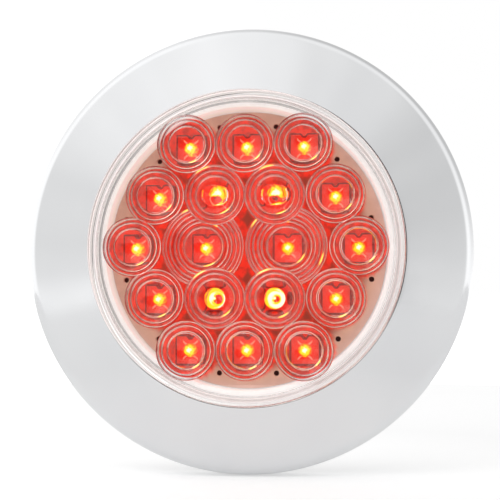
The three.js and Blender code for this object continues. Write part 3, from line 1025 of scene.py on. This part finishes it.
def make_leds():
    half = (LED_HIGH.x - LED_LOW.x) / 2
    front = PACKAGE_FRONT_Y
    shell = bevelled_prism("shell", notched_square(half, 0.7, 0.8), front + 0.03, LED_HIGH.y, 0.3, 3)
    window = bevelled_prism("window", notched_square(half - 0.35, 1.0, 0.8), front - 0.03, front + 0.4, 0.12)
    dome_r = 1.6
    crown_y = LED_LOW.y + dome_r
    angles = [math.pi * k / 20 for k in range(11)]
    crown = [(dome_r * math.sin(a), crown_y - dome_r * math.cos(a)) for a in angles]
    foot = [(dome_r, front - 0.25), (1.85, front - 0.03), (1.85, front + 0.1), (0, front + 0.1)]
    dome_mesh = turned("dome", crown + foot, 32, sharp_deg=60)
    looks = [
        (shell, "package", SHELL),
        (window, "window", WINDOW),
        (package_arms(), "lead_frame", LEAD),
        (dome_mesh, "dome", DIE),
    ]
    for node, (x, z) in zip(LEDS, LED_PLACES):
        for model, part, material in looks:
            piece = copy_to(model, f"{node}_{part}", (x, 0, z))
            replaced = [node] if part == "package" else ()
            finish_piece(piece, "mount", material, replaced)
    for model, _, _ in looks:
        bpy.data.objects.remove(model)


def bent_leads(half_length, reach, y, r):
    """Wire leads at both ends of a body along X, bent down to the board, with a solder cone at each."""
    bm = bmesh.new()
    bend = 0.7
    board_y = BOARD_HIGH.y - y
    for side in (-1, 1):
        centre = Vector((side * (half_length + reach - bend), -bend, 0))
        turns = [math.pi / 8 * k for k in range(5)]
        arc = [centre + Vector((side * math.sin(a), math.cos(a), 0)) * bend for a in turns]
        foot = Vector((arc[-1].x, board_y, 0))
        tube_into(bm, [Vector((side * (half_length - 0.4), 0, 0)), *arc, foot], r)
        cone = [(0, 0.02), (1.0, 0.02), (0.6, 0.3), (r, 0.7), (0, 0.7)]
        turn_into(bm, [(cone_r, board_y + height) for cone_r, height in cone], 16, (foot.x, 0))
    return finish_mesh("leads", bm)


def place_bodies(nodes, body, leads, paint):
    """Lays a body made round Y along X at each node, with its leads."""
    body.data.transform(Matrix.Rotation(math.pi / 2, 4, "Z"))
    for node in nodes:
        low, high = box_mm(node)
        place = (low + high) / 2
        finish_piece(copy_to(body, f"{node}_body", place), "mount", paint, [node])
        finish_piece(copy_to(leads, f"{node}_leads", place), "mount", BRASS)
    bpy.data.objects.remove(body)
    bpy.data.objects.remove(leads)


def mirrored(half_outline):
    """An outline from its front half, the same behind y = 0."""
    return half_outline + [(r, -y) for r, y in reversed(half_outline)]


def make_resistors():
    low, high = box_mm(RESISTORS[0])
    half, cap_r, waist_r = 4.5, 1.7, 1.4
    corners = [(0, -half, 0), (cap_r, -half, 0.5), (cap_r, -half + 1.9, 0.5)]
    corners += [(waist_r, -half + 2.4, 0.4), (waist_r, -0.5, 0)]
    body = turned("resistor", mirrored(rounded(corners, 4)), 32)
    orange, black, gold = (0.75, 0.3, 0.02), (0.02, 0.02, 0.02), (0.5, 0.33, 0.05)
    bands = [(0.12, 0.19, orange), (0.34, 0.41, orange), (0.48, 0.55, black), (0.8, 0.87, gold)]
    paint = banded("resistor_enamel", (0.2, 0.38, 0.5), bands, half, 0.4)
    place_bodies(RESISTORS, body, bent_leads(half, 1.9, (low.y + high.y) / 2, 0.4), paint)


def make_diodes():
    low, high = box_mm(DIODES[0])
    half = 2.6
    body = turned("diode", mirrored(rounded([(0, -half, 0), (1.35, -half, 0.2), (1.35, -0.5, 0)], 4)), 32)
    paint = banded("diode_moulding", (0.02, 0.02, 0.02), [(0.78, 0.9, (0.6, 0.6, 0.6))], half, 0.4)
    place_bodies(DIODES, body, bent_leads(half, 1.9, (low.y + high.y) / 2, 0.4), paint)


def make_potting():
    front, back, r = POTTING_LOW.y, POTTING_HIGH.y, POTTING_HIGH.x
    creep = [(r * k / 10, front + 0.5) for k in range(10)]
    wall = [(r - 1.8, front + 0.45), (r - 0.9, front + 0.3), (r - 0.3, front + 0.1), (r, front)]
    potting = turned("potting_resin", creep + wall + [(r, back), (0, back)])
    collar = [(0, front + 1), (2.9, front + 0.6), (2.3, front + 0.3), (0, front + 0.2)]
    collars = [turned("collar", collar, 32, place) for place in PIN_PLACES]
    combine(potting, collars, "UNION")
    holes = [rod("hole", PIN_HOLE_R, front - 2, back + 2, place) for place in PIN_PLACES]
    combine(potting, holes, "DIFFERENCE")
    finish_piece(potting, "mount", POTTING, ["potting"])


def make_pins():
    r, front, back = 1.6, PIN_LOW.y, PIN_HIGH.y
    corners = [
        (0, front, 0),
        (r - 0.3, front, 0.2),
        (r, front + 0.6, 0.2),
        (r, back - 2.0, 0.4),
        (r - 0.35, back - 0.7, 0.3),
        (r - 0.9, back, 0.3),
        (0, back, 0),
    ]
    for node, place in zip(PINS, PIN_PLACES):
        pin = turned(f"{node}_pin", rounded(corners, 4), 32, place)
        finish_piece(pin, "mount", BRASS, [node])


# ---------- the mount


def make_gasket():
    gasket = bead("gasket", 57.6, 69.4, -2, 0, 0.25, 3)
    combine(gasket, [rod("hole", 2.6, -4, 2, place, 32) for place in SCREW_PLACES], "DIFFERENCE")
    finish_piece(gasket, "mount", FOAM, ["foam_gasket"])


def make_mounting_ring():
    outline = rounded(
        [
            (56.2, -13, 0.3),
            (59, -13, 0.3),
            (59, -4.6, 0.6),
            (70.5, -4.6, 0.3),
            (70.5, -2.3, 0.3),
            (56.6, -2.3, 0.2),
            (56.6, 4, 0.4),
            (54.2, 4, 0.3),
            (54.2, -4.6, 0.3),
            (56.2, -4.6, 0.2),
            (56.2, -8.3, 0.3),
            (51.5, -8.3, 0.3),
            (51.5, -10.5, 0.3),
            (56.2, -10.5, 0.2),
        ],
        4,
    )
    ring = turned("ring_moulding", outline)
    added = []
    for deg in QUADRANTS:
        added.append(bevelled_prism("lug", sector(58.8, 62, deg - 12.5, deg + 10), -12.6, -10.4, 0.25))
        for start, end in ((deg - 12.5, deg - 9.4), (deg + 33.6, deg + 36.6)):
            added.append(bevelled_prism("stop", sector(58.8, 61.8, start, end, 4), -10.6, -4.4, 0.2))
    for deg in RIB_ANGLES:
        added.append(bevelled_prism("gusset", radial_bar(52.6, 56.4, deg, 1.6), -8.5, -4.4, 0.2))
    added.append(bevelled_prism("key", sector(54.9, 56.5, 87, 93, 4), -13, -10.3, 0.2))
    pad = rounded([(0, -4.4, 0), (4.6, -4.4, 0), (4.6, -4.85, 0.15), (0, -4.85, 0)], 3)
    added += [turned("pad", pad, 48, place) for place in SCREW_PLACES]
    combine(ring, added, "UNION")
    combine(ring, [rod("hole", 2.4, -8, 0, place) for place in SCREW_PLACES], "DIFFERENCE")
    finish_piece(ring, "mount", BLACK, ["mounting_ring"])


def screw_head(head_y, seat_y):
    """A pan head with a cross recess."""
    head_r = 4
    corners = [(0, head_y, 0), (2.2, head_y + 0.15, 1.0), (head_r, seat_y - 1.0, 0.8)]
    corners += [(head_r, seat_y, 0.25), (0, seat_y, 0)]
    head = turned("head", rounded(corners, 5), 48)
    long, narrow = 2.2, 0.45
    bars = []
    for half_x, half_z in ((long, narrow), (narrow, long)):
        bars.append(prism("bar", rectangle(half_x, half_z), head_y - 1, head_y + 1.3))
    point = [(0, head_y - 0.5), (1.4, head_y - 0.5), (0.4, head_y + 1.9), (0, head_y + 1.9)]
    bars.append(turned("cone", point, 24))
    return combine(head, bars, "DIFFERENCE")


def screw_shank(seat_y, tip_y):
    """A pointed shank with a rolled sheet-metal thread."""
    crest_r, core_r, pitch = 2.0, 1.45, 1.4
    steps, rings_per_turn = 24, 10
    start_y = seat_y - 0.4
    length = tip_y - seat_y + 0.4
    count = int(length / pitch * rings_per_turn)
    bm = bmesh.new()
    rings = []
    for i in range(count + 1):
        y = start_y + length * i / count
        taper = min(1.0, (tip_y - y) / 3.2 + 0.02)
        ring = []
        for k in range(steps):
            angle = 2 * math.pi * k / steps
            phase = (y / pitch + k / steps) % 1
            crest = max(0.0, 1 - abs(phase - 0.5) * 4.5)
            r = (core_r + (crest_r - core_r) * crest) * taper
            ring.append(bm.verts.new((r * math.cos(angle) * MM, y * MM, r * math.sin(angle) * MM)))
        rings.append(ring)
    skin(bm, rings, closed=False)
    bm.faces.new(rings[0][::-1])
    bm.faces.new(rings[-1])
    return finish_mesh("shank", bm, 50)


def make_screws():
    seat_y = SCREW_LOW.y + 2.4
    head = screw_head(SCREW_LOW.y, seat_y)
    shank = screw_shank(seat_y, SCREW_HIGH.y)
    for node, (x, z) in zip(SCREWS, SCREW_PLACES):
        finish_piece(copy_to(head, f"{node}_head", (x, 0, z)), "mount", ZINC, [node])
        finish_piece(copy_to(shank, f"{node}_thread", (x, 0, z)), "mount", ZINC)
    bpy.data.objects.remove(head)
    bpy.data.objects.remove(shank)


# ---------- stage, light and camera

# The light tent in front of, beside and behind the lamp: a level, and soft panels that are brighter
# or dimmer, each with its middle in degrees clockwise from the top as seen from in front, its half
# width in degrees and its gain.
TENT_FRONT = (1.04, [(337, 45, 0.2), (60, 32, -0.19), (262, 9, 0.2)])
TENT_SIDES = (1.43, [(30, 60, -0.25)])
TENT_BACK = (1.42, [(35, 65, -0.7), (325, 35, -0.25)])
KEY_PLACE = Vector((-0.7, -1.0, 0.9))  # in metres
KEY_SIZE = 0.8
KEY_POWER = 2.5
CAMERA_TARGET = Vector((0.0013, -0.016, -0.0008))
CAMERA_DISTANCE = 0.35
CAMERA_AZIMUTH = math.radians(5.0)
CAMERA_ELEVATION = math.radians(-4.2)
VIEW_WIDTH = 0.162  # what the camera sees across, at its target
SENSOR_WIDTH = 36


def make_stage():
    size, below = 600, 0.3
    bm = bmesh.new()
    edge = [on_circle(size, 5 * k) for k in range(72)]
    bm.faces.new([bm.verts.new((x * MM, y * MM, (BEZEL_LOW.z - below) * MM)) for x, y in edge])
    floor = finish_mesh("floor", bm)
    s = Surface("pale_floor", (0.64, 0.64, 0.64), 0.6)
    x, y, _ = s.axes(s.place)
    away = s.math("DIVIDE", s.hypot(x, y), 160 * MM)
    # Painted light: the floor glows brighter near the lamp, which lifts its shadow there
    s.glow(s.ramp(away, [(0.1, 0.4), (1.0, 0.25)]))
    floor.data.materials.append(s.material)


def tent_light(s, ray, level, panels):
    """Brightness of the tent along a level ray: its own level plus what each soft panel adds or takes."""
    for middle, half_width, gain in panels:
        facing = s.node("ShaderNodeVectorMath", operation="DOT_PRODUCT")
        s.link(ray, facing.inputs[0])
        turn = math.radians(middle)
        facing.inputs[1].default_value = (math.sin(turn), 0, math.cos(turn))
        edge = math.cos(math.radians(half_width))
        share = s.math("DIVIDE", s.math("SUBTRACT", facing.outputs["Value"], edge), 1 - edge)
        panel = s.ramp(share, [(0.0, 0.0), (1.0, 1.0)], "EASE")
        level = s.math("ADD", level, s.math("MULTIPLY", panel, gain))
    return level


def make_world():
    """A white light tent: dim straight in front, where the camera stands, and gently uneven around."""
    world = bpy.data.worlds.new("studio")
    bpy.context.scene.world = world
    world.use_nodes = True
    s = NodeTree(world.node_tree)
    background = s.tree.nodes["Background"]
    direction = s.node("ShaderNodeTexCoord").outputs["Generated"]
    _, forwards, _ = s.axes(direction)
    flat = s.node("ShaderNodeVectorMath", operation="MULTIPLY")
    s.link(direction, flat.inputs[0])
    flat.inputs[1].default_value = (1, 0, 1)
    ray = s.node("ShaderNodeVectorMath", operation="NORMALIZE")
    s.link(flat.outputs[0], ray.inputs[0])
    folds = s.node("ShaderNodeTexNoise", Scale=4.5, Detail=4.0)
    s.link(ray.outputs[0], folds.inputs["Vector"])
    uneven = s.math("ADD", 1.0, s.math("MULTIPLY", s.math("SUBTRACT", folds.outputs["Fac"], 0.5), 0.3))
    tone = s.math("MULTIPLY", tent_light(s, ray.outputs[0], *TENT_FRONT), uneven)
    away = s.math("DIVIDE", s.math("ARCCOSINE", s.math("MULTIPLY", forwards, -1.0)), math.pi)
    front_gap = s.ramp(away, [(0.115, 0.06), (0.142, 1.0)])
    level = s.math("MULTIPLY", tone, front_gap)
    for tent, start, end in ((TENT_SIDES, 0.26, 0.36), (TENT_BACK, 0.45, 0.6)):
        aside = s.ramp(away, [(start, 0.0), (end, 1.0)])
        level = s.mix(aside, level, tent_light(s, ray.outputs[0], *tent))
    rays = s.node("ShaderNodeLightPath")
    seen = s.math("MAXIMUM", level, rays.outputs["Is Camera Ray"])
    background.inputs["Color"].default_value = (1, 1, 1, 1)
    s.link(seen, background.inputs["Strength"])


def make_key_light():
    data = bpy.data.lights.new("key", "AREA")
    data.shape = "RECTANGLE"
    data.size = KEY_SIZE
    data.size_y = KEY_SIZE
    data.energy = KEY_POWER
    lamp = new_object("key", data)
    lamp.location = KEY_PLACE
    lamp.visible_glossy = False
    lamp.rotation_euler = (-KEY_PLACE).to_track_quat("-Z", "Y").to_euler()


def make_camera():
    """Stands the camera as the photograph's stood: slightly to the right of the lamp and below it."""
    data = bpy.data.cameras.new("camera")
    camera = new_object("camera", data)
    level = math.cos(CAMERA_ELEVATION)
    sideways, outwards = math.sin(CAMERA_AZIMUTH) * level, -math.cos(CAMERA_AZIMUTH) * level
    back = Vector((sideways, outwards, math.sin(CAMERA_ELEVATION)))
    camera.location = CAMERA_TARGET + back * CAMERA_DISTANCE
    camera.rotation_euler = (-back).to_track_quat("-Z", "Y").to_euler()
    data.sensor_width = SENSOR_WIDTH
    data.lens = SENSOR_WIDTH * CAMERA_DISTANCE / VIEW_WIDTH
    data.clip_start = 0.01
    bpy.context.scene.camera = camera


make_bezel()
make_lens()
make_housing()
make_seal()
make_cushion()
make_board()
make_leds()
make_resistors()
make_diodes()
make_potting()
make_pins()
make_gasket()
make_mounting_ring()
make_screws()
make_stage()
make_world()
make_key_light()
make_camera()
bpy.context.scene.view_settings.view_transform = "Standard"
